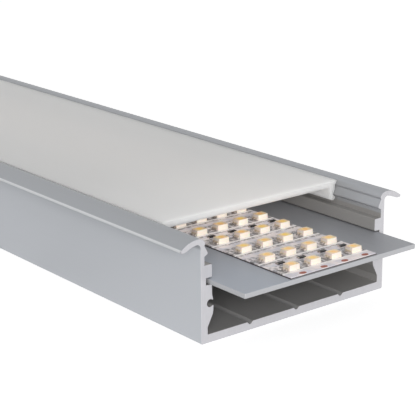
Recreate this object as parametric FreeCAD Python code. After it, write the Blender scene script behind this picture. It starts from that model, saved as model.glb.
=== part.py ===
import FreeCAD, Part
import math
import os

# Millimetres, +Z up. The origin is the centre of the profile's underside, halfway along its length.
# The profile runs along Y and its front sawn end faces -Y. Heights are measured from the underside.

LENGTH = 260.0                 # one cut length: profile, mounting plate and cover are sawn alike
BODY_WIDTH = 75.0              # over the side walls
FLOOR_THICKNESS = 2.7
WIRING_ROOM = 15.4             # floor to the plate slots
UPPER_RIB_HEIGHT = 4.0         # rib above the plate slots
COVER_ROOM = 8.5               # upper rib to the crown of the flanges
FOOT_WALL = 2.4                # side wall beside the floor
FOOT_HEIGHT = 2.3              # the wall slants inwards above this height over the floor
UPPER_WALL = 1.4               # side wall above the ribs
BOTTOM_CORNER_CHAMFER = 0.3

# Score lines along the floor mark where fixing holes may be drilled.
SCORE_LINES = 3
SCORE_WIDTH = 2.2
SCORE_BOTTOM_WIDTH = 0.7
SCORE_DEPTH = 0.8

# Open screw ports along both walls take the end caps' self-tapping screws.
PORT_RADIUS = 1.2
PORT_MOUTH = 1.7               # height of the gap that opens the port to the chamber
PORT_INSET = 3.4               # port axis in from the outer wall
PORT_RISE = 9.6                # port axis over the floor
PORT_SWELL = 0.5               # the wall bulges inwards round the port
SWELL_BELOW = 3.6
SWELL_ABOVE = 2.6
KNEE_DEPTH = 4.35              # wall face below the swell, where it starts to slant

# Ribs stand inwards below and above the slot that guides the mounting plate.
RIB_DEPTH = 4.15               # rib face in from the outer wall
SLOT_WALL = 1.9                # wall left behind the slot
RIB_CORNER_RADIUS = 0.25

# A snap bead under each flange holds the cover.
BEAD_DEPTH = 2.6               # bead tip in from the outer wall
BEAD_DROP = 5.8                # bead foot below the crown
BEAD_LOWER_RISE = 0.65
BEAD_FACE_HEIGHT = 0.45
BEAD_UPPER_RISE = 2.2
NECK_DEPTH = 1.45              # notch between the bead and the flange's roll

# The flanges curl outwards and cover the edge of the cut-out in the ceiling.
FLANGE_REACH = 7.3
FLANGE_CROWN_OUT = 0.8         # crown line out from the outer wall
FLANGE_ARCH_RADIUS = 9.6
FLANGE_ROLL_RADIUS = 2.8       # the flange rolls inwards and down to the neck
FLANGE_ROLL_DEPTH = 1.8
FLANGE_ROOT_RADIUS = 1.4       # hollow corner between the outer wall and the underside
FLANGE_ROOT_THICKNESS = 1.7    # crown to the top of the hollow
FLANGE_SHOULDER_SETBACK = 0.4  # the tip's rounding starts this far in from the flange's edge
FLANGE_RIM_WIDTH = 2.2         # thickened rim along the edge
FLANGE_RIM_DROP = 3.15         # rim foot below the crown
FLANGE_RIM_STEP = 0.25         # the hollow ends this far above the rim foot
FLANGE_HOLLOW_BOW = 0.16       # bow of the hollow underside

# The mounting plate slides in the slots and carries the light strip.
PLATE_THICKNESS = 1.6
PLATE_SLOT_GAP = 0.3           # clearance above and below the plate
PLATE_EDGE_GAP = 0.9           # clearance at each long edge
PLATE_PULLED_OUT = 16.4        # as displayed, it stands this far out of the front end

# The opal cover snaps in between the beads.
COVER_PUSHED_BACK = 20.5       # as displayed, its front edge lies this far behind the front end
COVER_TOP_DROP = 0.3           # cover top below the flange crown
COVER_LIP_DROP = 0.2           # lip tip below the cover's top
COVER_LIP_ROUND = 0.5
COVER_THICKNESS = 2.7
COVER_GAP = 0.3                # clearance to the roll and the bead
COVER_LEG_DEPTH = 4.3          # inner face of the leg in from the outer wall
COVER_LEG_OUTER = 2.25         # outer face of the leg, above its groove for the bead
COVER_HOOK_DEPTH = 2.1         # outer face of the hook under the bead
COVER_HOOK_REACH = 1.2         # leg foot below the bead foot
COVER_FOOT_ROUND = 0.75        # height of the foot's rounding

# The light strip lies on its tape on the plate.
TAPE_THICKNESS = 0.2
TAPE_MARGIN = 0.25             # the tape shows this little around the board
BOARD_THICKNESS = 0.3
BOARD_WIDTH = 34.6
BOARD_SHIFT = 0.7              # the strip was stuck down a little right of the middle
BOARD_SETBACK = 0.8            # board edge behind the plate's front edge
LED_COLUMNS = 4
LED_ROW_PITCH = 10.9
LED_COLUMN_PITCH = 8.5
LED_COLUMN_SHIFT = 0.5         # the columns lie a little right of the board's middle
LED_END_MARGIN = 5.5           # first row behind the board's front edge
LED_WIDTH = 4.2
LED_DEPTH = 3.2
LED_HEIGHT = 1.65
PHOSPHOR_RADIUS = 1.3
PHOSPHOR_SIDES = 12
PHOSPHOR_HEIGHT = 0.1
RESISTOR_EVERY = 3             # rows served by one set of resistors
RESISTOR_WIDTH = 2.8
RESISTOR_DEPTH = 1.3
RESISTOR_HEIGHT = 0.45
RESISTOR_SHIFT = 0.7           # right of its column
RESISTOR_BEHIND_ROW = 5.7
PAD_LENGTH = 2.5
PAD_WIDTH = 1.3
PAD_SETBACK = 0.9              # pad centres in from the board's ends
PAD_HEIGHT = 0.05
PAD_SHIFT = 0.4                # right of its column

HALF_WIDTH = BODY_WIDTH / 2
FRONT = -LENGTH / 2
SLOT_FLOOR = FLOOR_THICKNESS + WIRING_ROOM
SLOT_TOP = SLOT_FLOOR + PLATE_THICKNESS + 2 * PLATE_SLOT_GAP
RIB_TOP = SLOT_TOP + UPPER_RIB_HEIGHT
CROWN = RIB_TOP + COVER_ROOM
PORT_HEIGHT = FLOOR_THICKNESS + PORT_RISE
BEAD_FOOT = CROWN - BEAD_DROP
PLATE_FRONT = FRONT - PLATE_PULLED_OUT
PLATE_BOTTOM = SLOT_FLOOR + PLATE_SLOT_GAP
PLATE_TOP = PLATE_BOTTOM + PLATE_THICKNESS
BOARD_BOTTOM = PLATE_TOP + TAPE_THICKNESS
BOARD_TOP = BOARD_BOTTOM + BOARD_THICKNESS
BOARD_FRONT = PLATE_FRONT + BOARD_SETBACK
LED_ROWS = 1 + int((LENGTH - BOARD_SETBACK - 2 * LED_END_MARGIN) / LED_ROW_PITCH)
BOARD_LENGTH = (LED_ROWS - 1) * LED_ROW_PITCH + 2 * LED_END_MARGIN


def spot(depth, height):
    """Point of the right half's section: depth in from the outer wall, height over the underside."""
    return FreeCAD.Vector(HALF_WIDTH - depth, 0, height)


class Outline:
    """Edges drawn one after another in the XZ plane."""

    def __init__(self, start):
        self.at = start
        self.edges = []

    def line(self, *points):
        for point in points:
            self.edges.append(Part.LineSegment(self.at, point).toShape())
            self.at = point

    def arc(self, through, end):
        self.edges.append(Part.Arc(self.at, through, end).toShape())
        self.at = end


def arc_point(centre, radius, depth):
    """Point above the centre, at a given depth, on a circle in the section plane."""
    across = HALF_WIDTH - depth - centre.x
    return FreeCAD.Vector(HALF_WIDTH - depth, 0, centre.z + math.sqrt(radius ** 2 - across ** 2))


def mirrored_face(half):
    """Closed face from the right half of an outline that starts and ends on the middle plane."""
    middle = FreeCAD.Vector(0, 0, 0)
    left = [edge.mirror(middle, FreeCAD.Vector(1, 0, 0)) for edge in half.edges]
    loop = Part.sortEdges(half.edges + left)[0]
    return Part.Face(Part.Wire(loop))


def extruded(face, front, length):
    face = face.copy()
    face.translate(FreeCAD.Vector(0, front, 0))
    return face.extrude(FreeCAD.Vector(0, length, 0)).removeSplitter()


def edges_at(solid, spots):
    """Lengthwise edges that pass through the given section points, on both sides."""
    found = []
    for edge in solid.Edges:
        middle = edge.CenterOfMass
        along = abs(edge.BoundBox.YLength - edge.Length) < 1e-6
        if along and any(math.hypot(abs(middle.x) - s.x, middle.z - s.z) < 0.01 for s in spots):
            found.append(edge)
    return found


def roll_centre():
    return spot(-FLANGE_CROWN_OUT, CROWN - FLANGE_ROLL_RADIUS)


def bead_corners():
    """Snap bead from its foot on the wall, over the tip, to the notch under the roll."""
    face_foot = BEAD_FOOT + BEAD_LOWER_RISE
    face_top = face_foot + BEAD_FACE_HEIGHT
    return [
        spot(UPPER_WALL, BEAD_FOOT),
        spot(BEAD_DEPTH, face_foot),
        spot(BEAD_DEPTH, face_top),
        spot(NECK_DEPTH, face_top + BEAD_UPPER_RISE),
    ]


def root_halfway():
    """Middle of the hollow corner where the flange leaves the outer wall."""
    share = 1 - math.sqrt(0.5)
    height = CROWN - FLANGE_ROOT_THICKNESS - FLANGE_ROOT_RADIUS * share
    return spot(-FLANGE_ROOT_RADIUS * share, height)


def draw_flange(outline):
    """Hollow underside, thick rim, arched top and inner roll of the right flange."""
    root = spot(-FLANGE_ROOT_RADIUS, CROWN - FLANGE_ROOT_THICKNESS)
    outline.arc(root_halfway(), root)
    rim = CROWN - FLANGE_RIM_DROP
    rim_start = spot(FLANGE_RIM_WIDTH - FLANGE_REACH, rim + FLANGE_RIM_STEP)
    hollow = (root + rim_start) * 0.5 + FreeCAD.Vector(0, 0, FLANGE_HOLLOW_BOW)
    outline.arc(hollow, rim_start)
    shoulder = FLANGE_SHOULDER_SETBACK - FLANGE_REACH
    rim_foot = spot(FLANGE_RIM_WIDTH / 2 - FLANGE_REACH, rim)
    outline.arc(rim_foot, spot(shoulder, rim + FLANGE_RIM_STEP / 4))
    arch_centre = spot(-FLANGE_CROWN_OUT, CROWN - FLANGE_ARCH_RADIUS)
    tip_top = arc_point(arch_centre, FLANGE_ARCH_RADIUS, shoulder)
    outline.arc(spot(-FLANGE_REACH, (tip_top.z + rim) / 2), tip_top)
    halfway = (shoulder - FLANGE_CROWN_OUT) / 2
    outline.arc(
        arc_point(arch_centre, FLANGE_ARCH_RADIUS, halfway),
        spot(-FLANGE_CROWN_OUT, CROWN),
    )
    halfway = (FLANGE_ROLL_DEPTH - FLANGE_CROWN_OUT) / 2
    outline.arc(
        arc_point(roll_centre(), FLANGE_ROLL_RADIUS, halfway),
        arc_point(roll_centre(), FLANGE_ROLL_RADIUS, FLANGE_ROLL_DEPTH),
    )


def draw_inner_wall(outline):
    """From the flange's roll down the inner side of the right wall to the floor."""
    swell_top = PORT_HEIGHT + SWELL_ABOVE
    swell_foot = PORT_HEIGHT - SWELL_BELOW
    outline.line(
        *reversed(bead_corners()),
        spot(UPPER_WALL, RIB_TOP),
        spot(RIB_DEPTH, RIB_TOP),
        spot(RIB_DEPTH, SLOT_TOP),
        spot(SLOT_WALL, SLOT_TOP),
        spot(SLOT_WALL, SLOT_FLOOR),
        spot(RIB_DEPTH, SLOT_FLOOR),
        spot(RIB_DEPTH, swell_top),
    )
    outline.arc(
        spot(RIB_DEPTH + PORT_SWELL, (swell_top + swell_foot) / 2),
        spot(KNEE_DEPTH, swell_foot),
    )
    outline.line(
        spot(FOOT_WALL, FLOOR_THICKNESS + FOOT_HEIGHT),
        spot(FOOT_WALL, FLOOR_THICKNESS),
    )


def score_centres():
    """Across the width, the score lines divide the body into equal parts."""
    return [BODY_WIDTH * n / (SCORE_LINES + 1) - HALF_WIDTH for n in range(1, SCORE_LINES + 1)]


def score_cutters():
    """Flat-bottomed V-shaped prisms along the floor."""
    cutters = []
    top = SCORE_WIDTH - SCORE_BOTTOM_WIDTH / 2
    bottom = SCORE_BOTTOM_WIDTH / 2
    for centre in score_centres():
        corners = [
            FreeCAD.Vector(centre - top, 0, FLOOR_THICKNESS + SCORE_DEPTH),
            FreeCAD.Vector(centre + top, 0, FLOOR_THICKNESS + SCORE_DEPTH),
            FreeCAD.Vector(centre + bottom, 0, FLOOR_THICKNESS - SCORE_DEPTH),
            FreeCAD.Vector(centre - bottom, 0, FLOOR_THICKNESS - SCORE_DEPTH),
        ]
        face = Part.Face(Part.makePolygon(corners + corners[:1]))
        cutters.append(extruded(face, FRONT, LENGTH))
    return cutters


def port_cutters():
    """Round screw ports, each open to the chamber through its mouth in the swollen wall."""
    cutters = []
    for side in (-1, 1):
        axis = side * (HALF_WIDTH - PORT_INSET)
        start = FreeCAD.Vector(axis, FRONT, PORT_HEIGHT)
        cutters.append(Part.makeCylinder(PORT_RADIUS, LENGTH, start, FreeCAD.Vector(0, 1, 0)))
        reach = RIB_DEPTH + PORT_SWELL - PORT_INSET + PORT_RADIUS
        corner = FreeCAD.Vector(min(axis, axis - side * reach), FRONT, PORT_HEIGHT - PORT_MOUTH / 2)
        cutters.append(Part.makeBox(reach, LENGTH, PORT_MOUTH, corner))
    return cutters


def profile_body():
    """Extruded trough with curled flanges, snap beads, plate slots and screw ports."""
    half = Outline(FreeCAD.Vector(0, 0, 0))
    half.line(spot(0, 0), spot(0, CROWN - FLANGE_ROOT_THICKNESS - FLANGE_ROOT_RADIUS))
    draw_flange(half)
    draw_inner_wall(half)
    half.line(FreeCAD.Vector(0, 0, FLOOR_THICKNESS))
    solid = extruded(mirrored_face(half), FRONT, LENGTH)
    solid = solid.makeChamfer(BOTTOM_CORNER_CHAMFER, edges_at(solid, [spot(0, 0)]))
    rib_corners = [
        spot(RIB_DEPTH, RIB_TOP),
        spot(RIB_DEPTH, SLOT_TOP),
        spot(RIB_DEPTH, SLOT_FLOOR),
    ]
    solid = solid.makeFillet(RIB_CORNER_RADIUS, edges_at(solid, rib_corners))
    return solid.cut(port_cutters() + score_cutters())


def mounting_plate():
    """Flat plate held in the slots by its long edges."""
    width = BODY_WIDTH - 2 * (SLOT_WALL + PLATE_EDGE_GAP)
    corner = FreeCAD.Vector(-width / 2, PLATE_FRONT, PLATE_BOTTOM)
    return Part.makeBox(width, LENGTH, PLATE_THICKNESS, corner)


def beside(start, end, gap):
    """The line from start to end, moved sideways by gap towards the middle of the profile."""
    along = (end - start).normalize()
    inwards = FreeCAD.Vector(-along.z, 0, along.x) * gap
    return start + inwards, end + inwards


def at_depth(line, depth):
    """Where a slanted line of the section reaches a depth."""
    start, end = line
    share = (HALF_WIDTH - depth - start.x) / (end.x - start.x)
    return start + (end - start) * share


def diffuser_cover():
    """Opal plate with lips over the flange rolls and legs that hook under the beads."""
    top = CROWN - COVER_TOP_DROP
    tip = top - COVER_LIP_DROP
    under_radius = FLANGE_ROLL_RADIUS + COVER_GAP
    notch = BEAD_DEPTH + COVER_GAP
    rise = tip - roll_centre().z
    tip_depth = math.sqrt(under_radius ** 2 - rise ** 2) - FLANGE_CROWN_OUT
    foot, lower, upper, neck = bead_corners()
    under_flank = beside(foot, lower, COVER_GAP)
    upper_flank = beside(upper, neck, COVER_GAP)
    half = Outline(FreeCAD.Vector(0, 0, top))
    half.line(spot(tip_depth + COVER_LIP_ROUND, top))
    half.arc(spot(tip_depth + COVER_LIP_ROUND / 2, top - COVER_LIP_DROP / 4), spot(tip_depth, tip))
    half.arc(
        arc_point(roll_centre(), under_radius, (tip_depth + COVER_LEG_OUTER) / 2),
        arc_point(roll_centre(), under_radius, COVER_LEG_OUTER),
    )
    half.line(at_depth(upper_flank, COVER_LEG_OUTER), at_depth(upper_flank, notch))
    half.line(at_depth(under_flank, notch), at_depth(under_flank, COVER_HOOK_DEPTH))
    leg_foot = BEAD_FOOT - COVER_HOOK_REACH
    rounded = leg_foot + COVER_FOOT_ROUND
    half.line(spot(COVER_HOOK_DEPTH, rounded))
    half.arc(
        spot((COVER_HOOK_DEPTH + COVER_LEG_DEPTH) / 2, leg_foot),
        spot(COVER_LEG_DEPTH, rounded),
    )
    underside = top - COVER_THICKNESS
    half.line(spot(COVER_LEG_DEPTH, underside), FreeCAD.Vector(0, 0, underside))
    return extruded(mirrored_face(half), FRONT + COVER_PUSHED_BACK, LENGTH)


def strip_layer(width, front, length, bottom, thickness):
    """One flat layer of the light strip, centred on the strip."""
    corner = FreeCAD.Vector(BOARD_SHIFT - width / 2, front, bottom)
    return Part.makeBox(width, length, thickness, corner)


def adhesive_tape():
    width = BOARD_WIDTH + 2 * TAPE_MARGIN
    length = BOARD_LENGTH + 2 * TAPE_MARGIN
    return strip_layer(width, BOARD_FRONT - TAPE_MARGIN, length, PLATE_TOP, TAPE_THICKNESS)


def strip_board():
    return strip_layer(BOARD_WIDTH, BOARD_FRONT, BOARD_LENGTH, BOARD_BOTTOM, BOARD_THICKNESS)


def column_positions():
    first = BOARD_SHIFT + LED_COLUMN_SHIFT - (LED_COLUMNS - 1) / 2 * LED_COLUMN_PITCH
    return [first + n * LED_COLUMN_PITCH for n in range(LED_COLUMNS)]


def row_position(row):
    return BOARD_FRONT + LED_END_MARGIN + row * LED_ROW_PITCH


def led_row(row):
    """White packages of one row across the board."""
    packages = []
    for x in column_positions():
        corner = FreeCAD.Vector(x - LED_WIDTH / 2, row_position(row) - LED_DEPTH / 2, BOARD_TOP)
        packages.append(Part.makeBox(LED_WIDTH, LED_DEPTH, LED_HEIGHT, corner))
    return Part.makeCompound(packages)


def phosphor_window(middle):
    """Many-sided disc, near enough round at this size."""
    turns = [2 * math.pi * n / PHOSPHOR_SIDES for n in range(PHOSPHOR_SIDES)]
    rim = [middle + FreeCAD.Vector(math.cos(t), math.sin(t), 0) * PHOSPHOR_RADIUS for t in turns]
    face = Part.Face(Part.makePolygon(rim + rim[:1]))
    return face.extrude(FreeCAD.Vector(0, 0, PHOSPHOR_HEIGHT))


def phosphor_row(row):
    """Phosphor windows on the packages of one row."""
    height = BOARD_TOP + LED_HEIGHT
    windows = [
        phosphor_window(FreeCAD.Vector(x, row_position(row), height)) for x in column_positions()
    ]
    return Part.makeCompound(windows)


def resistor_set(row):
    """Chip resistors behind one row, one to a column."""
    chips = []
    for x in column_positions():
        middle = FreeCAD.Vector(x + RESISTOR_SHIFT, row_position(row) + RESISTOR_BEHIND_ROW, BOARD_TOP)
        corner = middle - FreeCAD.Vector(RESISTOR_WIDTH / 2, RESISTOR_DEPTH / 2, 0)
        chips.append(Part.makeBox(RESISTOR_WIDTH, RESISTOR_DEPTH, RESISTOR_HEIGHT, corner))
    return chips


def chip_resistors():
    sets = [resistor_set(row) for row in range(0, LED_ROWS - 1, RESISTOR_EVERY)]
    return Part.makeCompound([chip for chips in sets for chip in chips])


def solder_pad(middle):
    """Flat pad with round ends."""
    bow = FreeCAD.Vector(PAD_LENGTH / 2, 0, 0)
    shoulder = FreeCAD.Vector((PAD_LENGTH - PAD_WIDTH) / 2, 0, 0)
    side = FreeCAD.Vector(0, PAD_WIDTH / 2, 0)
    oval = Outline(middle + shoulder - side)
    oval.arc(middle + bow, middle + shoulder + side)
    oval.line(middle - shoulder + side)
    oval.arc(middle - bow, middle - shoulder - side)
    oval.line(middle + shoulder - side)
    return Part.Face(Part.Wire(oval.edges)).extrude(FreeCAD.Vector(0, 0, PAD_HEIGHT))


def solder_pads(y):
    """One pad to a column, in a row across the board."""
    pads = [solder_pad(FreeCAD.Vector(x + PAD_SHIFT, y, BOARD_TOP)) for x in column_positions()]
    return Part.makeCompound(pads)


def all_parts():
    yield "profile_body", profile_body()
    yield "mounting_plate", mounting_plate()
    yield "diffuser_cover", diffuser_cover()
    yield "adhesive_tape", adhesive_tape()
    yield "strip_board", strip_board()
    yield "front_solder_pads", solder_pads(BOARD_FRONT + PAD_SETBACK)
    yield "back_solder_pads", solder_pads(BOARD_FRONT + BOARD_LENGTH - PAD_SETBACK)
    yield "chip_resistors", chip_resistors()
    for row in range(LED_ROWS):
        yield f"led_row_{row + 1:02d}", led_row(row)
        yield f"phosphor_row_{row + 1:02d}", phosphor_row(row)


os.makedirs("parts", exist_ok=True)
for name, shape in all_parts():
    shape.exportStep(f"parts/{name}.step")
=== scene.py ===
import math

import bmesh
import bpy
from mathutils import Matrix, Vector


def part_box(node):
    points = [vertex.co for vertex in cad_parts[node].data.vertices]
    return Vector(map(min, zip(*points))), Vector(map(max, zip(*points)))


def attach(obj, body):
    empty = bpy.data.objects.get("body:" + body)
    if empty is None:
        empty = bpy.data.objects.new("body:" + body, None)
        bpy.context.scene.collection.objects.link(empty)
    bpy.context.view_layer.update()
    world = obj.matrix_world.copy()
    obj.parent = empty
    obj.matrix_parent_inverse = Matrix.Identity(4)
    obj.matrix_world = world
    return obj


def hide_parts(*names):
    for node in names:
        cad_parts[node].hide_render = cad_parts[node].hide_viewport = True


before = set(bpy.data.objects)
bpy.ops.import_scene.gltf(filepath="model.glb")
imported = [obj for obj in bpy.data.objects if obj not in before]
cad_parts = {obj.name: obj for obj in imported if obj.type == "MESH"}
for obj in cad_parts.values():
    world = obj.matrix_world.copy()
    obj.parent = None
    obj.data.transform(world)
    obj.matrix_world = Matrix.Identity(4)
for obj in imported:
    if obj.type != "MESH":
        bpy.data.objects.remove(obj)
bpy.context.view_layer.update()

bl_info = {
    "name": "Recessed light profile",
    "version": (1, 0, 0),
    "blender": (4, 5, 0),
    "location": "3D View > Sidebar > Profile",
    "description": "Finishes and fine pieces of a recessed aluminium light profile",
    "category": "Object",
}

MM = 0.001

X, Y, Z = range(3)

# Counts, and limits for merging, picking and masking faces and edges.
COLUMNS = 4
ROWS_PER_CHIP_SET = 3
PAD_SIDES = 24
CUP_SIDES = 18
BEVEL_SEGMENTS = 2
MERGE_REACH = 0.001 * MM
FLAT_ANGLE = math.radians(1)
SAME_PLACE = 0.01 * MM
LONG_EDGE = 40 * MM
UPRIGHT_EDGE = 0.5 * MM
CLEAR_OF_BOARD = 0.1 * MM
UPWARD = 0.9
FACING = 0.75
FACING_SOFTNESS = 0.15

# Cuts behind the cover's sawn ends, as shares of its lip. Each cut's underside is drawn up
# and its top down, by these shares of a quarter circle's rise.
LIP_STEPS = (0, 0.12, 0.4, 0.7, 1)
LIP_UNDERSIDE = 0.9
LIP_TOP = -0.25
LIP_TOP_BAND = 1 * MM

# Proportions and small steps of the strip's pieces.
PAD_RIM = 0.2 * MM
PAD_DISH_SLOPE = 0.08 * MM
PAD_DISH_DEPTH = 0.03 * MM
PACKAGE_TOP = (0.96, 0.95, 1)
CUP_FOOT = 0.85
CUP_OPENING = 0.01 * MM
WINDOW_GAP = 0.04 * MM
WINDOW_TOP = 0.97
WINDOW_CROWN = 0.35
WINDOW_DOME = 0.018 * MM
SOLDER_SLOPE = 0.93
SOLDER_NARROWING = (1, 0.8, 1)
SOLDER_ROUND = 0.12 * MM
CHIP_BODY_INSET = 1.6
CHIP_BODY_DROP = 0.03 * MM
CHIP_CAP_MARGIN = 0.02 * MM
CHIP_BODY_ROUND = 0.06 * MM
CHIP_CAP_ROUND = 0.07 * MM

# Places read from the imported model, in metres.
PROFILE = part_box("profile_body")
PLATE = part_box("mounting_plate")
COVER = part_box("diffuser_cover")
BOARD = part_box("strip_board")
FIRST_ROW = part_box("led_row_01")
FIRST_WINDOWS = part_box("phosphor_row_01")
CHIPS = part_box("chip_resistors")
ROW_NAMES = sorted(name[-2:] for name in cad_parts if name.startswith("led_row_"))

BLACK = (0, 0, 0)
WHITE = (1, 1, 1)


def middle(box, axis):
    """Middle of a box along one axis."""
    return (box[0][axis] + box[1][axis]) / 2


def line(first, last, count):
    """The first of some even places, and the pitch between them."""
    return first, (last - first) / (count - 1)


def linear(code):
    """Linear colour from a six-digit display colour."""
    parts = [int(code[n:n + 2], 16) / 255 for n in (0, 2, 4)]
    return tuple(c / 12.92 if c <= 0.04045 else ((c + 0.055) / 1.055) ** 2.4 for c in parts)


def number(name, description, default, **kind):
    """A setting that is one number; kind holds its unit or subtype."""
    return bpy.props.FloatProperty(name=name, description=description, default=default, **kind)


def length(name, description, default):
    return number(name, description, default, unit="LENGTH", subtype="DISTANCE")


def angle(name, description, degrees):
    return number(name, description, math.radians(degrees), unit="ROTATION")


def position(name, description, default):
    return bpy.props.FloatVectorProperty(
        name=name, description=description, default=default, subtype="XYZ", unit="LENGTH"
    )


def colour(name, description, code):
    return bpy.props.FloatVectorProperty(
        name=name, description=description, default=linear(code), size=3, min=0, max=1, subtype="COLOR"
    )


class ProfileSizes(bpy.types.PropertyGroup):
    """How far the edges of the large pieces are eased or rounded."""

    burr: length("Burr", "Ease along the edges of the extrusion", 0.12 * MM)
    plate_ease: length("Plate ease", "Rounding of the plate's edges", 0.2 * MM)
    cover_lip: length("Cover lip", "Rounding of the cover's edges across both ends", 1.6 * MM)


class StripSizes(bpy.types.PropertyGroup):
    """Sizes of the light strip's small pieces."""

    package_width: length("Package width", "Across the strip", 4.2 * MM)
    package_corner: length("Package corner", "Radius of the upright corners", 0.22 * MM)
    cup_radius: length("Cup radius", "Round cup in the top of a package", 1.4 * MM)
    cup_depth: length("Cup depth", "Depth of the cup", 0.3 * MM)
    solder_reach: length("Solder reach", "Solder fillet beyond the package", 0.8 * MM)
    solder_depth: length("Solder depth", "Solder fillet along the strip", 2.6 * MM)
    solder_height: length("Solder height", "Solder fillet up the package's end", 1.45 * MM)
    chip_width: length("Chip width", "Resistor across the strip", 2.8 * MM)
    chip_depth: length("Chip depth", "Resistor along the strip", 1.3 * MM)
    chip_cap: length("Chip cap", "Tinned end of a resistor", 0.14 * MM)
    pad_width: length("Pad width", "Copper pad across the strip", 2.5 * MM)
    pad_depth: length("Pad depth", "Copper pad along the strip", 1.7 * MM)


class Colours(bpy.types.PropertyGroup):
    """Colours of the finishes."""

    # Anodised, lightened or darkened, also gives the painted light near the ends and the painted shade on the
    # flanges and trough walls.
    anodised: colour("Anodised", "Outer faces of the profile", "CDD0D5")
    # Painted shade: the darker colour of the faces inside the trough.
    inner: colour("Inner skin", "Faces inside the trough", "9B9997")
    # Painted highlight along the flanges' rim.
    rim: colour("Rim", "Bright rim of the flanges", "E4E6E8")
    sawn: colour("Sawn", "Bright sawn ends", "DAD9DD")
    plate: colour("Plate", "Mounting plate", "A5A7AC")
    # Painted sky reflection on the plate left of the strip.
    plate_sky_reflection: colour("Plate pale", "Mounting plate left of the strip, paler and bluer", "B2B9C4")
    plate_edge: colour("Plate edge", "Sheared sides of the plate", "C0C1C4")
    # Opal is also the colour of the cover's painted glow.
    opal: colour("Opal", "Diffusing cover", "E9E8E6")
    tape: colour("Tape", "Adhesive edge", "3A2E30")
    board: colour("Board", "White mask of the strip", "F8EFEE")
    lilac: colour("Lilac", "Cooler patches of the mask", "DFDCE4")
    band: colour("Band", "Plain bands in front of the rows", "FFFCFA")
    mark: colour("Mark", "Grey lands and marks", "8E8B88")
    copper: colour("Copper", "Bare pads", "B26A58")
    # Tin also greys the packages' ends as painted shade.
    tin: colour("Tin", "Solder fillets", "D2C6C0")
    ceramic: colour("Ceramic", "Resistor bodies", "232124")
    package: colour("Package", "White moulding", "FAEEE0")
    # Peach serves as painted glow: round each window on the moulding, on the solder tops and, dimmed, on the
    # packages' sides; it is also the phosphor's own paler rim.
    peach: colour("Peach", "Moulding tinted round the window", "F8DCAE")
    # The phosphor colours also give the windows' painted glow.
    phosphor: colour("Phosphor", "Yellow of the windows", "F8CC58")
    phosphor_warm: colour("Warm phosphor", "Orange of some windows", "F4BE68")


class StageSettings(bpy.types.PropertyGroup):
    """Camera, light and floor."""

    camera_place: position("Camera place", "Camera position", (-0.26741, -0.42170, 0.15516))
    azimuth: angle("Azimuth", "Camera heading, 0 looks along +Y", -38.67)
    elevation: angle("Elevation", "Camera above the horizon", 17.03)
    roll: angle("Roll", "Camera turned about its view", -0.43)
    lens: number("Lens", "Focal length in millimetres", 117.15)
    sensor: number("Sensor", "Width of the camera's sensor in millimetres", 36)
    ambient: number("Ambient", "Strength of the plain sky", 0.42)
    key: number("Key", "Power of the large front light in watts", 28.5)
    key_place: position("Key place", "Middle of the large front light", (-1.01, -1.76, 0.57))
    key_width: number("Key width", "Width of the large front light", 1.6, unit="LENGTH")
    key_height: number("Key height", "Height of the large front light", 1.0, unit="LENGTH")
    floor_size: number("Floor size", "Side of the square floor", 8, unit="LENGTH")
    floor_grey: number("Floor grey", "How much light the floor gives back", 0.5)
    floor_lift: number("Floor lift", "Glow of the floor where the camera or a reflection sees it", 0.78)


GROUPS = {
    "profile_sizes": ProfileSizes,
    "strip_sizes": StripSizes,
    "profile_colours": Colours,
    "profile_stage": StageSettings,
}


class Signal:
    """A shader socket that takes part in plain expressions."""

    def __init__(self, nodes, socket):
        self.nodes = nodes
        self.socket = socket

    def maths(self, operation, *values):
        return self.nodes.node("ShaderNodeMath", {"operation": operation}, dict(enumerate(values)))

    def __add__(self, other):
        return self.maths("ADD", self, other)

    __radd__ = __add__

    def __sub__(self, other):
        return self.maths("SUBTRACT", self, other)

    def __rsub__(self, other):
        return self.maths("SUBTRACT", other, self)

    def __mul__(self, other):
        return self.maths("MULTIPLY", self, other)

    __rmul__ = __mul__

    def __truediv__(self, other):
        return self.maths("DIVIDE", self, other)

    def __abs__(self):
        return self.maths("ABSOLUTE", self)

    def wrapped(self):
        """Signed distance to the nearest whole number."""
        return self.maths("WRAP", self, 0.5, -0.5)

    def above(self, edge, softness):
        """0 below the edge and 1 above it, with a soft step."""
        return self.nodes.node(
            "ShaderNodeMapRange",
            {"interpolation_type": "SMOOTHSTEP"},
            {"Value": self, "From Min": edge - softness, "From Max": edge + softness},
        )

    def within(self, edge, softness):
        """1 while the absolute value is under the edge."""
        return 1 - abs(self).above(edge, softness)

    def around(self, centre, reach, softness):
        """1 while the value is within reach of the centre."""
        return (self - centre).within(reach, softness)


class Nodes:
    """A node tree, emptied and ready for expressions."""

    def __init__(self, tree):
        self.tree = tree
        tree.nodes.clear()

    def node(self, kind, options=None, inputs=None, output=0):
        """Adds a node: its options are set first, then its inputs' values or links."""
        made = self.tree.nodes.new(kind)
        for name, value in (options or {}).items():
            setattr(made, name, value)
        for slot, value in (inputs or {}).items():
            self.put(made.inputs[slot], value)
        return Signal(self, made.outputs[output])

    def put(self, socket, value):
        if isinstance(value, Signal):
            self.tree.links.new(value.socket, socket)
        elif socket.type == "RGBA":
            socket.default_value = (*value[:3], 1)
        else:
            socket.default_value = value

    def end(self, kind, surface):
        """Closes the tree with its output node."""
        self.put(self.tree.nodes.new(kind).inputs["Surface"], surface)

    def seen(self):
        """1 for rays of the camera, of reflections and through clear pieces, 0 for soft light."""
        path = self.tree.nodes.new("ShaderNodeLightPath")
        seen = Signal(self, path.outputs["Is Camera Ray"])
        for name in ("Is Glossy Ray", "Is Transmission Ray"):
            seen = seen.maths("MAXIMUM", seen, Signal(self, path.outputs[name]))
        return seen


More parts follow.
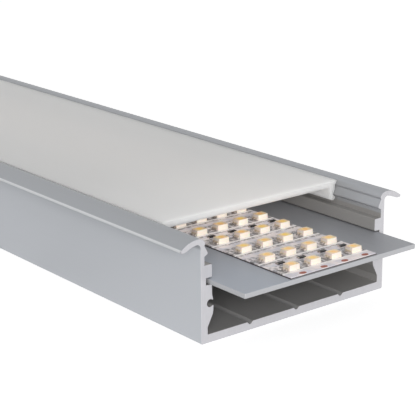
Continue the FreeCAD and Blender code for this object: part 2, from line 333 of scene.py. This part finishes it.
class Finish(Nodes):
    """One procedural material around a Principled shader."""

    def __init__(self, name, **values):
        self.material = bpy.data.materials.new(name)
        self.material.use_nodes = True
        super().__init__(self.material.node_tree)
        self.shader = self.tree.nodes.new("ShaderNodeBsdfPrincipled")
        self.end("ShaderNodeOutputMaterial", Signal(self, self.shader.outputs[0]))
        self.set(**values)

    def set(self, **values):
        """Fills the shader's sockets; an underscore stands for a space in a socket's name."""
        for label, value in values.items():
            self.put(self.shader.inputs[label.replace("_", " ")], value)

    def place(self):
        return self.node("ShaderNodeTexCoord", output="Object")

    def axes(self, vector):
        split = self.tree.nodes.new("ShaderNodeSeparateXYZ")
        self.put(split.inputs[0], vector)
        return [Signal(self, split.outputs[n]) for n in range(3)]

    def noise(self, scale, stretch=(1, 1, 1), detail=2.0, roughness=0.5):
        place = self.node("ShaderNodeVectorMath", {"operation": "MULTIPLY"}, {0: self.place(), 1: stretch})
        return self.node(
            "ShaderNodeTexNoise",
            inputs={"Vector": place, "Scale": scale, "Detail": detail, "Roughness": roughness},
        )

    def mix(self, factor, first, second):
        return self.node("ShaderNodeMix", {"data_type": "RGBA"}, {0: factor, 6: first, 7: second}, output=2)

    def facing(self, axis):
        """1 on faces that look along the axis, such as the sawn ends along Y."""
        normal = self.node("ShaderNodeNewGeometry", output="Normal")
        return abs(self.axes(normal)[axis]).above(FACING, FACING_SOFTNESS)

    def cells(self):
        """Distances in millimetres across and along from the nearest light package."""
        x, y, _ = self.axes(self.place())
        first_column, column_pitch = column_line()
        first_row, row_pitch = row_line()
        across = ((x - first_column) / column_pitch).wrapped() * (column_pitch / MM)
        along = ((y - first_row) / row_pitch).wrapped() * (row_pitch / MM)
        return across, along

    def relief(self, height, depth, strength=1.0):
        self.set(Normal=self.node(
            "ShaderNodeBump", inputs={"Height": height, "Distance": depth, "Strength": strength}
        ))


def settings(name):
    return getattr(bpy.context.scene, name)


def toned(shade, share):
    """A colour darkened by a share under 1, or lightened by one over 1."""
    return tuple(c * share for c in shade)


def anodised_finish():
    """Fine lines along the extrusion, and bright saw marks across the ends.

    Its shade is painted by place: painted light on the outer walls near the ends, painted
    shade on the flanges with a painted highlight along their rim, and painted shade in the
    trough that deepens from either end, its hollow under the plate the most.
    """
    shades = settings("profile_colours")
    finish = Finish("anodised_profile", Metallic=0.2, Specular_IOR_Level=0.35)
    sawn = finish.facing(Y)
    lines = finish.noise(900, stretch=(1, 0.01, 1), detail=4)
    cloud = finish.noise(25, stretch=(1, 0.35, 1), detail=3)
    strokes = finish.noise(1400, stretch=(1, 1, 0.12), detail=3)
    grain = finish.noise(5200)
    x, y, z = finish.axes(finish.place())

    def near_ends(depth, softness):
        """1 at both sawn ends, fading to 0 further in than the depth in millimetres."""
        return abs(y).above(PROFILE[1].y - depth * MM, softness * MM)

    inside = x.within(COVER[1].x + 0.4 * MM, 0.5 * MM) * z.above(1.5 * MM, 1 * MM)
    flange = z.above(COVER[1].z - 3 * MM, 0.6 * MM)
    rim = abs(x).above(PROFILE[1].x - 0.4 * MM, 0.15 * MM)
    outer = finish.mix(lines * 0.5 + cloud * 0.5, toned(shades.anodised, 0.97), toned(shades.anodised, 1.03))
    # Painted light: the outer walls paler near both sawn ends.
    outer = finish.mix(near_ends(35, 40) * 0.8, outer, toned(shades.anodised, 1.08))
    # Painted shade: the flanges darker on their upper faces.
    outer = finish.mix(flange, outer, toned(shades.anodised, 0.7))
    # Painted highlight: a bright line along the flanges' rim.
    outer = finish.mix(rim, outer, shades.rim)

    # Painted shade in the trough: lighter near the open ends where light falls in, darker with depth, and
    # darkest in the hollow under the plate.
    light_at_mouth = near_ends(22, 22)
    wall = finish.mix(light_at_mouth, toned(shades.inner, 0.7), toned(shades.anodised, 0.72))
    ribs = finish.mix(light_at_mouth, toned(shades.inner, 0.9), toned(shades.inner, 1.08))
    hollow = finish.mix(near_ends(42, 38), toned(shades.inner, 0.4), toned(shades.inner, 1.2))
    trough = finish.mix(z.above(COVER[0].z, 0.3 * MM), ribs, wall)
    trough = finish.mix(z.above(PLATE[0].z, 1 * MM), hollow, trough)

    cut = finish.mix(strokes, toned(shades.sawn, 0.88), shades.sawn)
    finish.set(
        Base_Color=finish.mix(sawn, finish.mix(inside, outer, trough), cut),
        Roughness=0.46 + lines * 0.08 - sawn * 0.08 + grain * 0.05,
    )
    finish.relief(lines * (1 - sawn) * 0.4 + strokes * sawn + grain * 0.5, 0.012 * MM, 0.6)
    return finish.material


def plate_finish():
    """Rolled sheet with faint lines along it and small scuffs, and a painted sky reflection, paler and bluer,
    left of the strip.
    """
    shades = settings("profile_colours")
    finish = Finish("plate_aluminium", Metallic=0.3, Specular_IOR_Level=0.4)
    lines = finish.noise(1500, stretch=(1, 0.02, 1), detail=4)
    scuffs = finish.noise(320, stretch=(1, 0.2, 1), detail=5, roughness=0.65).above(0.62, 0.05)
    sides = 1 - finish.facing(Z)
    # Painted sky reflection: the plate left of the strip paler and bluer.
    left = 1 - finish.axes(finish.place())[X].above(BOARD[0].x, 8 * MM)
    skin = finish.mix(lines, toned(shades.plate, 0.9), shades.plate)
    skin = finish.mix(left * 0.8, skin, shades.plate_sky_reflection)
    finish.set(
        Base_Color=finish.mix(sides, skin, shades.plate_edge),
        Roughness=0.4 + lines * 0.1 + scuffs * 0.1,
    )
    finish.relief(lines + scuffs * 0.3, 0.01 * MM, 0.5)
    return finish.material


def opal_finish():
    """Milky plastic with a faint drawn texture and a weak painted glow, stronger towards the ends, that
    stands in for light scattered through the plastic.
    """
    shades = settings("profile_colours")
    finish = Finish(
        "opal_cover", Subsurface_Weight=0.85, Subsurface_Scale=0.008, Subsurface_Radius=(1.0, 0.96, 0.93),
        IOR=1.45, Emission_Strength=0.16,
    )
    sawn = finish.facing(Y)
    # Painted glow: stronger towards the ends and weaker on the sawn faces.
    centre = middle(COVER, Y)
    past_end = abs(finish.axes(finish.place())[Y] - centre) - (COVER[1].y - centre)
    ends = past_end.above(-30 * MM, 30 * MM) * 0.6 + past_end.above(-7 * MM, 7 * MM) * 0.2
    flow = finish.noise(60, stretch=(1, 0.08, 1), detail=3)
    grain = finish.noise(3500)
    finish.set(
        Base_Color=finish.mix(flow, toned(shades.opal, 0.97), shades.opal),
        Roughness=0.42 + grain * 0.08 + sawn * 0.2,
        Emission_Color=finish.mix(ends * 0.9 - sawn * 0.35, toned(shades.opal, 0.25), shades.opal),
    )
    finish.relief(grain + flow * 0.5, 0.01 * MM, 0.4)
    return finish.material


def tape_finish():
    """Dark adhesive, paler where it was cut."""
    shades = settings("profile_colours")
    finish = Finish("tape")
    fibres = finish.noise(1800, detail=3)
    plain = finish.mix(fibres, toned(shades.tape, 0.7), shades.tape)
    finish.set(
        Base_Color=finish.mix(finish.facing(Y) * 0.6, plain, shades.mark),
        Roughness=0.6 + fibres * 0.25,
    )
    finish.relief(fibres, 0.03 * MM)
    return finish.material


def board_finish():
    """White mask with plain bands between the rows and grey lands round each package.

    Places and widths are in millimetres from the nearest package. A weak glow, stronger
    under the cover, stands for the light that reaches the board there.
    """
    shades = settings("profile_colours")
    finish = Finish("board_white", Coat_Weight=0.15, Emission_Strength=0.19)
    across, along = finish.cells()
    y = finish.axes(finish.place())[Y]
    band = along.around(-2.15, 0.4, 0.15)
    margin = 1 - y.above(BOARD[0].y + 3.2 * MM, 0.5 * MM)
    plain = (1 - band) * (1 - margin)
    lands = abs(across).around(2.7, 1.1, 0.4) * along.within(1.6, 0.5)
    tracks = across.around(-4.1, 0.22, 0.08) * plain
    near = across.around(-0.2, 4.2, 0.4) * along.around(0.4, 4.2, 0.6) * plain
    blot = across.around(-3.0, 0.9, 0.5) * along.around(-1.3, 0.8, 0.4) * plain
    specks = finish.noise(1100, detail=4, roughness=0.75).above(0.5, 0.05)
    smudges = finish.noise(600).above(0.45, 0.1)
    tint = finish.noise(300, detail=1).above(0.5, 0.15)
    base = finish.mix(tint, shades.board, shades.lilac)
    base = finish.mix(smudges * near * 0.45, base, toned(shades.mark, 1.2))
    base = finish.mix(lands * (0.25 + smudges * 0.4), base, toned(shades.mark, 0.8))
    base = finish.mix(tracks * 0.2, base, shades.mark)
    base = finish.mix(blot * 0.5, base, toned(shades.mark, 0.8))
    base = finish.mix(specks * smudges * near * 0.75, base, toned(shades.mark, 0.3))
    base = finish.mix(band * 0.85, base, shades.band)
    # Painted light: a weak glow on the whole board, stronger under the cover.
    painted_glow_under_cover = y.above(COVER[0].y, 10 * MM)
    finish.set(
        Base_Color=base,
        Roughness=0.42 + smudges * 0.15 - lands * 0.1,
        Emission_Color=finish.mix(painted_glow_under_cover * 0.7 + 0.3, BLACK, base),
    )
    finish.relief(lands + tracks + specks * 0.3, 0.03 * MM)
    return finish.material


def copper_finish():
    """Bare pads, browned unevenly."""
    shades = settings("profile_colours")
    finish = Finish("copper_pads", Metallic=0.5)
    tarnish = finish.noise(900, detail=4, roughness=0.65)
    finish.set(
        Base_Color=finish.mix(tarnish, toned(shades.copper, 0.65), shades.copper),
        Roughness=0.35 + tarnish * 0.3,
    )
    finish.relief(tarnish, 0.02 * MM)
    return finish.material


def tin_finish():
    """Wavy solder, dull in patches at its foot, with a painted peach glow of the moulding on its upper part.
    """
    shades = settings("profile_colours")
    finish = Finish("solder_tin", Metallic=0.3)
    waves = finish.noise(900, detail=3)
    patches = finish.noise(1300, detail=3, roughness=0.6).above(0.52, 0.08)
    # Painted glow: the upper part of each fillet takes the moulding's peach.
    high = finish.axes(finish.place())[Z].above(BOARD[1].z + 0.7 * MM, 0.5 * MM)
    foot = finish.mix(patches, toned(shades.tin, 0.38), shades.tin)
    finish.set(
        Base_Color=finish.mix(high, foot, toned(shades.peach, 0.85)),
        Roughness=0.25 + waves * 0.3,
    )
    finish.relief(waves, 0.08 * MM)
    return finish.material


def ceramic_finish():
    """Matt black body with a faint grain."""
    shades = settings("profile_colours")
    finish = Finish("resistor_black", Coat_Weight=0.2)
    grain = finish.noise(2600, detail=3)
    finish.set(
        Base_Color=finish.mix(grain, toned(shades.ceramic, 0.6), shades.ceramic),
        Roughness=0.45 + grain * 0.2,
    )
    finish.relief(grain, 0.02 * MM)
    return finish.material


def package_finish():
    """White moulding with a painted glow of the yellow round the window, painted shade on its ends,
    and a weak painted glow of its own, brightest on the front faces and under the cover.
    """
    shades = settings("profile_colours")
    finish = Finish(
        "led_package", Subsurface_Weight=0.2, Subsurface_Scale=0.001, IOR=1.5, Emission_Strength=0.3
    )
    cream = finish.noise(500)
    grain = finish.noise(4200)
    across, along = finish.cells()
    # Painted glow of the yellow spreading round the window on the top faces.
    near = 1 - (across * across + along * along).above(4.5, 3.2)
    moulding = finish.mix(cream, toned(shades.package, 0.95), shades.package)
    # Painted shade: the package's ends greyed towards the solder's colour.
    moulding = finish.mix(finish.facing(X) * 0.8, moulding, shades.tin)
    # Painted glow: stronger on the front faces and under the cover, weak and peach elsewhere.
    painted_glow_under_cover = finish.axes(finish.place())[Y].above(COVER[0].y + 12 * MM, 8 * MM)
    glow = finish.mix(painted_glow_under_cover, toned(shades.package, 0.4), shades.package)
    finish.set(
        Base_Color=finish.mix(near * finish.facing(Z), moulding, shades.peach),
        Roughness=0.32 + grain * 0.12,
        Emission_Color=finish.mix(finish.facing(Y), toned(shades.peach, 0.2), glow),
    )
    finish.relief(grain, 0.01 * MM, 0.5)
    return finish.material


def phosphor_finish():
    """Silicone window: yellow in the middle, warmer from one package to the next, with a weak painted glow in
    the same colours.
    """
    shades = settings("profile_colours")
    # Painted glow: the emission lifts the window in its own colours.
    finish = Finish(
        "phosphor", Subsurface_Weight=0.2, Subsurface_Scale=0.0008, Coat_Weight=0.3, Emission_Strength=0.26
    )
    tint = finish.noise(130, detail=1).above(0.5, 0.12)
    powder = finish.noise(3800, detail=3)
    across, along = finish.cells()
    rim = (across * across + along * along).above(1.2, 1.0)
    warm = finish.mix(rim, finish.mix(tint, shades.phosphor, shades.phosphor_warm), shades.peach)
    pale = finish.mix(0.3, warm, shades.package)
    finish.set(
        Base_Color=finish.mix(powder * 0.5, warm, pale),
        Roughness=0.38 + powder * 0.15,
        Emission_Color=warm,
    )
    finish.relief(powder, 0.015 * MM, 0.5)
    return finish.material


def column_line():
    """Place of the first column of packages, and the pitch across the strip."""
    half = settings("strip_sizes").package_width / 2
    return line(FIRST_ROW[0].x + half, FIRST_ROW[1].x - half, COLUMNS)


def row_line():
    """Place of the first row, and the pitch along the strip."""
    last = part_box("led_row_" + ROW_NAMES[-1])
    return line(middle(FIRST_ROW, Y), middle(last, Y), len(ROW_NAMES))


def columns(first, pitch):
    """Places of the columns, from the first one on."""
    return [first + n * pitch for n in range(COLUMNS)]


def deselect():
    if bpy.context.object and bpy.context.object.mode != "OBJECT":
        bpy.ops.object.mode_set(mode="OBJECT")
    bpy.ops.object.select_all(action="DESELECT")


def activate(piece):
    deselect()
    piece.select_set(True)
    bpy.context.view_layer.objects.active = piece


def added(name):
    """Names the new primitive and takes its place into its mesh."""
    piece = bpy.context.object
    piece.name = name
    activate(piece)
    bpy.ops.object.transform_apply(location=True, rotation=True, scale=True)
    return piece


def block(name, size, place):
    """A box of the given size, centred at place, ready to be shaped."""
    deselect()
    bpy.ops.mesh.primitive_cube_add(size=1, location=place, scale=size)
    return added(name)


def disc(name, radius, depth, place, sides, top_radius=None):
    """A short round bar, tapered where a top radius is given."""
    deselect()
    bpy.ops.mesh.primitive_cone_add(
        vertices=sides, radius1=radius, radius2=radius if top_radius is None else top_radius,
        depth=depth, location=place,
    )
    return added(name)


def pick(piece, kind, test):
    """Goes to edit mode with only the edges or faces selected that pass the test."""
    activate(piece)
    bpy.ops.object.mode_set(mode="EDIT")
    bpy.ops.mesh.select_mode(type=kind)
    bpy.ops.mesh.select_all(action="DESELECT")
    mesh = bmesh.from_edit_mesh(piece.data)
    for item in mesh.edges if kind == "EDGE" else mesh.faces:
        item.select_set(test(item))
    mesh.select_flush_mode()
    bmesh.update_edit_mesh(piece.data)


def pick_all(piece, kind):
    pick(piece, kind, lambda item: True)


def pick_top(piece):
    pick(piece, "FACE", lambda face: face.normal.z > UPWARD)


def done():
    bpy.ops.object.mode_set(mode="OBJECT")


def with_modifier(piece, kind, **values):
    """Adds a modifier and applies it."""
    activate(piece)
    modifier = piece.modifiers.new(kind.title(), kind)
    for name, value in values.items():
        setattr(modifier, name, value)
    bpy.ops.object.modifier_apply(modifier=modifier.name)


def smoothed(piece, degrees=35):
    activate(piece)
    bpy.ops.object.shade_smooth_by_angle(angle=math.radians(degrees))


def copy_at(master, name, offset):
    """A copy with its own mesh, moved by the offset."""
    piece = master.copy()
    piece.data = master.data.copy()
    piece.name = name
    bpy.context.scene.collection.objects.link(piece)
    piece.data.transform(Matrix.Translation(offset))
    return piece


def joined(pieces, name):
    activate(pieces[0])
    for piece in pieces[1:]:
        piece.select_set(True)
    bpy.ops.object.join()
    bpy.context.object.name = name
    return bpy.context.object


def removed(piece):
    mesh = piece.data
    bpy.data.objects.remove(piece)
    bpy.data.meshes.remove(mesh)


def finished(piece, material, body, slot, *nodes):
    """Gives a piece its finish and body, and hides the CAD nodes that it stands for; its slot is not used."""
    piece.data.materials.clear()
    piece.data.materials.append(material)
    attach(piece, body)
    if nodes:
        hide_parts(*nodes)


def dressed(node, material):
    """Gives a CAD node its finish and keeps its mesh."""
    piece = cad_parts[node]
    piece.data.materials.clear()
    piece.data.materials.append(material)


def merged_copy(node, name):
    """A copy of a solid whose loose triangles are merged back into flat faces."""
    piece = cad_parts[node].copy()
    piece.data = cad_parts[node].data.copy()
    piece.parent = None
    for key in list(piece.keys()):
        del piece[key]
    piece.name = name
    bpy.context.scene.collection.objects.link(piece)
    activate(piece)
    bpy.ops.object.mode_set(mode="EDIT")
    bpy.ops.mesh.select_all(action="SELECT")
    bpy.ops.mesh.remove_doubles(threshold=MERGE_REACH)
    bpy.ops.mesh.dissolve_limited(angle_limit=FLAT_ANGLE)
    done()
    return piece


def bevel_picked(width):
    """Bevels the picked edges and leaves edit mode."""
    bpy.ops.mesh.bevel(offset=width, segments=BEVEL_SEGMENTS)
    done()


def round_lip(piece, limits, lip):
    """Cuts strips behind each sawn end and draws them in, the underside the most."""
    for end, inwards in ((limits[0].y, 1), (limits[1].y, -1)):
        places = [end + inwards * step * lip for step in LIP_STEPS]
        for place in places[1:]:
            pick_all(piece, "FACE")
            bpy.ops.mesh.bisect(plane_co=(0, place, 0), plane_no=(0, 1, 0))
            done()
        for step, place in zip(LIP_STEPS, places):
            rise = lip * (1 - math.sqrt(1 - (1 - step) ** 2))
            for top, share in ((False, LIP_UNDERSIDE), (True, LIP_TOP)):
                pick(piece, "EDGE", lambda edge: long_edge_at(edge, place, limits[1].z - LIP_TOP_BAND, top))
                bpy.ops.transform.translate(value=(0, 0, share * rise))
                done()


def long_edge_at(edge, place, top_line, top):
    """True for a long edge across the cover at the place, wholly above or below the top line."""
    return edge.calc_length() > LONG_EDGE and all(
        abs(vert.co.y - place) < SAME_PLACE and (vert.co.z > top_line) == top for vert in edge.verts
    )


def shaded(piece):
    """Smooth shading over rounded edges that leaves the large faces flat."""
    smoothed(piece, degrees=30)
    with_modifier(piece, "WEIGHTED_NORMAL", keep_sharp=True)


class PROFILE_OT_body(bpy.types.Operator):
    """Gives the extrusion its anodised skin and bright sawn ends"""

    bl_idname = "profile.body"
    bl_label = "Profile body"

    def execute(self, context):
        piece = merged_copy("profile_body", "profile_shell")
        pick_all(piece, "EDGE")
        bevel_picked(settings("profile_sizes").burr)
        shaded(piece)
        finished(piece, anodised_finish(), "profile", "anodised_profile", "profile_body")
        return {"FINISHED"}


class PROFILE_OT_plate(bpy.types.Operator):
    """Gives the mounting plate its rolled finish"""

    bl_idname = "profile.plate"
    bl_label = "Mounting plate"

    def execute(self, context):
        piece = merged_copy("mounting_plate", "sliding_plate")
        pick_all(piece, "EDGE")
        bevel_picked(settings("profile_sizes").plate_ease)
        shaded(piece)
        finished(piece, plate_finish(), "tray", "plate_aluminium", "mounting_plate")
        return {"FINISHED"}


class PROFILE_OT_cover(bpy.types.Operator):
    """Rounds the opal cover's edges across its ends and makes it milky"""

    bl_idname = "profile.cover"
    bl_label = "Opal cover"

    def execute(self, context):
        piece = merged_copy("diffuser_cover", "opal_diffuser")
        round_lip(piece, COVER, settings("profile_sizes").cover_lip)
        shaded(piece)
        finished(piece, opal_finish(), "cover", "opal_cover", "diffuser_cover")
        return {"FINISHED"}


class PROFILE_OT_board(bpy.types.Operator):
    """Finishes the strip's board and the tape under it"""

    bl_idname = "profile.board"
    bl_label = "Board and tape"

    def execute(self, context):
        dressed("strip_board", board_finish())
        dressed("adhesive_tape", tape_finish())
        return {"FINISHED"}


class PROFILE_OT_pads(bpy.types.Operator):
    """Makes the copper pads at both ends of the board"""

    bl_idname = "profile.pads"
    bl_label = "Copper pads"

    def execute(self, context):
        material = copper_finish()
        half = settings("strip_sizes").pad_width / 2
        for end in ("front", "back"):
            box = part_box(end + "_solder_pads")
            places = columns(*line(box[0].x + half, box[1].x - half, COLUMNS))
            piece = joined([self.pad(box, x) for x in places], end + "_copper_pads")
            finished(piece, material, "tray", "copper_pads", end + "_solder_pads")
        return {"FINISHED"}

    def pad(self, box, x):
        """An oval with a raised rim, dished in the middle."""
        sizes = settings("strip_sizes")
        place = (x, middle(box, Y), middle(box, Z))
        piece = disc("pad", sizes.pad_depth / 2, box[1].z - box[0].z, place, PAD_SIDES)
        stretch = sizes.pad_width / sizes.pad_depth
        back_to_x = Matrix.Translation((x * (1 - stretch), 0, 0))
        piece.data.transform(back_to_x @ Matrix.Diagonal((stretch, 1, 1, 1)))
        pick_top(piece)
        bpy.ops.mesh.inset(thickness=PAD_RIM)
        bpy.ops.mesh.inset(thickness=PAD_DISH_SLOPE, depth=-PAD_DISH_DEPTH)
        done()
        smoothed(piece)
        return piece


class PROFILE_OT_packages(bpy.types.Operator):
    """Models one light package and copies it along and across the strip"""

    bl_idname = "profile.packages"
    bl_label = "Light packages"

    def execute(self, context):
        shell, window, solder = self.shell(), self.window(), self.solder()
        moulding, glow, tin = package_finish(), phosphor_finish(), tin_finish()
        for row in ROW_NAMES:
            y = middle(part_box("led_row_" + row), Y)
            spots = [Vector((x, y, 0)) for x in columns(*column_line())]
            shells = joined([copy_at(shell, "shell", spot) for spot in spots], "packages_" + row)
            finished(shells, moulding, "tray", "led_package", "led_row_" + row)
            windows = joined([copy_at(window, "window", spot) for spot in spots], "windows_" + row)
            finished(windows, glow, "tray", "phosphor", "phosphor_row_" + row)
            fillets = joined([copy_at(solder, "solder", spot) for spot in spots], "solder_" + row)
            finished(fillets, tin, "tray", "plate_aluminium")
        for master in (shell, window, solder):
            removed(master)
        return {"FINISHED"}

    def shell(self):
        """White moulding with rounded upright corners and a cup in its top."""
        sizes = settings("strip_sizes")
        low, high = FIRST_ROW[0].z, FIRST_WINDOWS[1].z
        deep = FIRST_ROW[1].y - FIRST_ROW[0].y
        piece = block("shell", (sizes.package_width, deep, high - low), (0, 0, (low + high) / 2))
        pick(piece, "EDGE", self.upright)
        bevel_picked(sizes.package_corner)
        pick_top(piece)
        bpy.ops.transform.resize(value=PACKAGE_TOP, center_override=(0, 0, high))
        done()
        place = (0, 0, high - sizes.cup_depth / 2 + CUP_OPENING)
        cup = disc("cup", sizes.cup_radius * CUP_FOOT, sizes.cup_depth, place, CUP_SIDES, sizes.cup_radius)
        with_modifier(piece, "BOOLEAN", object=cup, operation="DIFFERENCE", solver="EXACT")
        removed(cup)
        smoothed(piece, degrees=40)
        return piece

    def upright(self, edge):
        one, other = edge.verts
        return abs(one.co.z - other.co.z) > UPRIGHT_EDGE

    def window(self):
        """Slightly domed phosphor that fills the cup."""
        sizes = settings("strip_sizes")
        radius, depth = sizes.cup_radius, sizes.cup_depth
        place = (0, 0, FIRST_WINDOWS[1].z - depth / 2)
        piece = disc("window", radius * CUP_FOOT, depth - WINDOW_GAP, place, CUP_SIDES, radius * WINDOW_TOP)
        pick_top(piece)
        bpy.ops.mesh.inset(thickness=radius * WINDOW_CROWN)
        bpy.ops.transform.translate(value=(0, 0, WINDOW_DOME))
        done()
        smoothed(piece, degrees=60)
        return piece

    def solder(self):
        """Fillets that run from the package's ends down to the board."""
        sizes = settings("strip_sizes")
        board = BOARD[1].z
        size = (2 * sizes.solder_reach, sizes.solder_depth, sizes.solder_height)
        halves = []
        for side in (-1, 1):
            edge = side * sizes.package_width / 2
            piece = block("solder", size, (edge, 0, board + sizes.solder_height / 2))

            def outer_top(item):
                """True for the top edge that is furthest from the package."""
                return all(
                    vert.co.z > board + CLEAR_OF_BOARD and vert.co.x * side > abs(edge) for vert in item.verts
                )

            pick(piece, "EDGE", outer_top)
            bpy.ops.transform.translate(value=(0, 0, -SOLDER_SLOPE * sizes.solder_height))
            bpy.ops.transform.resize(value=SOLDER_NARROWING)
            done()
            with_modifier(piece, "BEVEL", width=SOLDER_ROUND, segments=BEVEL_SEGMENTS)
            smoothed(piece, degrees=60)
            halves.append(piece)
        return joined(halves, "solder")


class PROFILE_OT_resistors(bpy.types.Operator):
    """Makes the chip resistors with their tinned ends"""

    bl_idname = "profile.resistors"
    bl_label = "Chip resistors"

    def execute(self, context):
        body, caps, spots = self.body(), self.caps(), self.spots()
        bodies = joined([copy_at(body, "body", spot) for spot in spots], "resistor_bodies")
        finished(bodies, ceramic_finish(), "tray", "resistor_black", "chip_resistors")
        ends = joined([copy_at(caps, "caps", spot) for spot in spots], "resistor_caps")
        finished(ends, bpy.data.materials["solder_tin"], "tray", "plate_aluminium")
        removed(body)
        removed(caps)
        return {"FINISHED"}

    def body(self):
        """Ceramic block, a little lower than its caps."""
        sizes = settings("strip_sizes")
        width = sizes.chip_width - CHIP_BODY_INSET * sizes.chip_cap
        size = (width, sizes.chip_depth, CHIPS[1].z - CHIPS[0].z - CHIP_BODY_DROP)
        piece = block("body", size, (0, 0, middle(CHIPS, Z)))
        with_modifier(piece, "BEVEL", width=CHIP_BODY_ROUND, segments=BEVEL_SEGMENTS)
        smoothed(piece, degrees=50)
        return piece

    def caps(self):
        """Two tinned ends that stand a little proud of the block."""
        sizes = settings("strip_sizes")
        size = (sizes.chip_cap, sizes.chip_depth + CHIP_CAP_MARGIN, CHIPS[1].z - CHIPS[0].z)
        reach = (sizes.chip_width - sizes.chip_cap) / 2
        ends = [block("cap", size, (side * reach, 0, middle(CHIPS, Z))) for side in (-1, 1)]
        piece = joined(ends, "caps")
        with_modifier(piece, "BEVEL", width=CHIP_CAP_ROUND, segments=BEVEL_SEGMENTS)
        smoothed(piece, degrees=50)
        return piece

    def spots(self):
        """Every place where the solids have a chip."""
        sizes = settings("strip_sizes")
        places = columns(*column_line())
        shift = CHIPS[0].x + sizes.chip_width / 2 - places[0]
        step = ROWS_PER_CHIP_SET * row_line()[1]
        first = CHIPS[0].y + sizes.chip_depth / 2
        count = 1 + round((CHIPS[1].y - CHIPS[0].y - sizes.chip_depth) / step)
        return [Vector((x + shift, first + n * step, 0)) for n in range(count) for x in places]


class PROFILE_OT_stage(bpy.types.Operator):
    """Sets the pale floor, the plain light and the camera"""

    bl_idname = "profile.stage"
    bl_label = "Stage"

    def execute(self, context):
        values = settings("profile_stage")
        self.floor(values)
        self.sky(values)
        self.key(values)
        self.camera(values)
        context.scene.view_settings.view_transform = "Standard"
        return {"FINISHED"}

    def floor(self, values):
        """A grey floor that catches shadows, lifted to white where it is seen."""
        deselect()
        bpy.ops.mesh.primitive_plane_add(size=values.floor_size, location=(0, 0, PROFILE[0].z))
        floor = bpy.context.object
        floor.name = "floor"
        material = bpy.data.materials.new("pale_floor")
        material.use_nodes = True
        nodes = Nodes(material.node_tree)
        paper = nodes.node("ShaderNodeBsdfDiffuse", inputs={"Color": (values.floor_grey,) * 3})
        glow = nodes.node("ShaderNodeEmission", inputs={"Strength": nodes.seen() * values.floor_lift})
        both = nodes.node("ShaderNodeAddShader", inputs={0: paper, 1: glow})
        nodes.end("ShaderNodeOutputMaterial", both)
        floor.data.materials.append(material)

    def sky(self, values):
        """An even sky, weak as light and white where it is seen."""
        world = bpy.data.worlds.new("plain_sky")
        bpy.context.scene.world = world
        world.use_nodes = True
        nodes = Nodes(world.node_tree)
        lit = nodes.node("ShaderNodeBackground", inputs={"Color": WHITE, "Strength": values.ambient})
        white = nodes.node("ShaderNodeBackground", inputs={"Color": WHITE, "Strength": 1.0})
        both = nodes.node("ShaderNodeMixShader", inputs={0: nodes.seen(), 1: lit, 2: white})
        nodes.end("ShaderNodeOutputWorld", both)

    def key(self, values):
        """A large soft light in front, a little to the left and above."""
        light = bpy.data.lights.new("key", "AREA")
        light.shape = "RECTANGLE"
        light.size = values.key_width
        light.size_y = values.key_height
        light.energy = values.key
        lamp = bpy.data.objects.new("key", light)
        bpy.context.scene.collection.objects.link(lamp)
        lamp.location = values.key_place
        aim = Vector((0, middle(PROFILE, Y), 0)) - lamp.location
        lamp.rotation_euler = aim.to_track_quat("-Z", "Y").to_euler()

    def camera(self, values):
        data = bpy.data.cameras.new("camera")
        data.sensor_width = values.sensor
        data.lens = values.lens
        camera = bpy.data.objects.new("camera", data)
        bpy.context.scene.collection.objects.link(camera)
        turn = Matrix.Rotation(values.azimuth, 4, "Z")
        tilt = Matrix.Rotation(math.pi / 2 - values.elevation, 4, "X")
        roll = Matrix.Rotation(values.roll, 4, "Z")
        camera.matrix_world = Matrix.Translation(values.camera_place) @ turn @ tilt @ roll
        bpy.context.scene.camera = camera


OPERATORS = (
    PROFILE_OT_stage,
    PROFILE_OT_body,
    PROFILE_OT_plate,
    PROFILE_OT_cover,
    PROFILE_OT_board,
    PROFILE_OT_pads,
    PROFILE_OT_packages,
    PROFILE_OT_resistors,
)


class PROFILE_PT_panel(bpy.types.Panel):
    """Lists the sizes, colours and build steps"""

    bl_idname = "PROFILE_PT_panel"
    bl_label = "Recessed light profile"
    bl_space_type = "VIEW_3D"
    bl_region_type = "UI"
    bl_category = "Profile"

    def draw(self, context):
        for name, group in GROUPS.items():
            box = self.layout.box()
            for prop in group.__annotations__:
                box.prop(getattr(context.scene, name), prop)
        for operator in OPERATORS:
            self.layout.operator(operator.bl_idname)


def register():
    for name, group in GROUPS.items():
        bpy.utils.register_class(group)
        setattr(bpy.types.Scene, name, bpy.props.PointerProperty(type=group))
    for kind in (*OPERATORS, PROFILE_PT_panel):
        bpy.utils.register_class(kind)


def unregister():
    for kind in reversed((*OPERATORS, PROFILE_PT_panel)):
        bpy.utils.unregister_class(kind)
    for name, group in reversed(GROUPS.items()):
        delattr(bpy.types.Scene, name)
        bpy.utils.unregister_class(group)


def main():
    register()
    for operator in OPERATORS:
        group, name = operator.bl_idname.split(".")
        getattr(getattr(bpy.ops, group), name)()


if __name__ == "__main__":
    main()
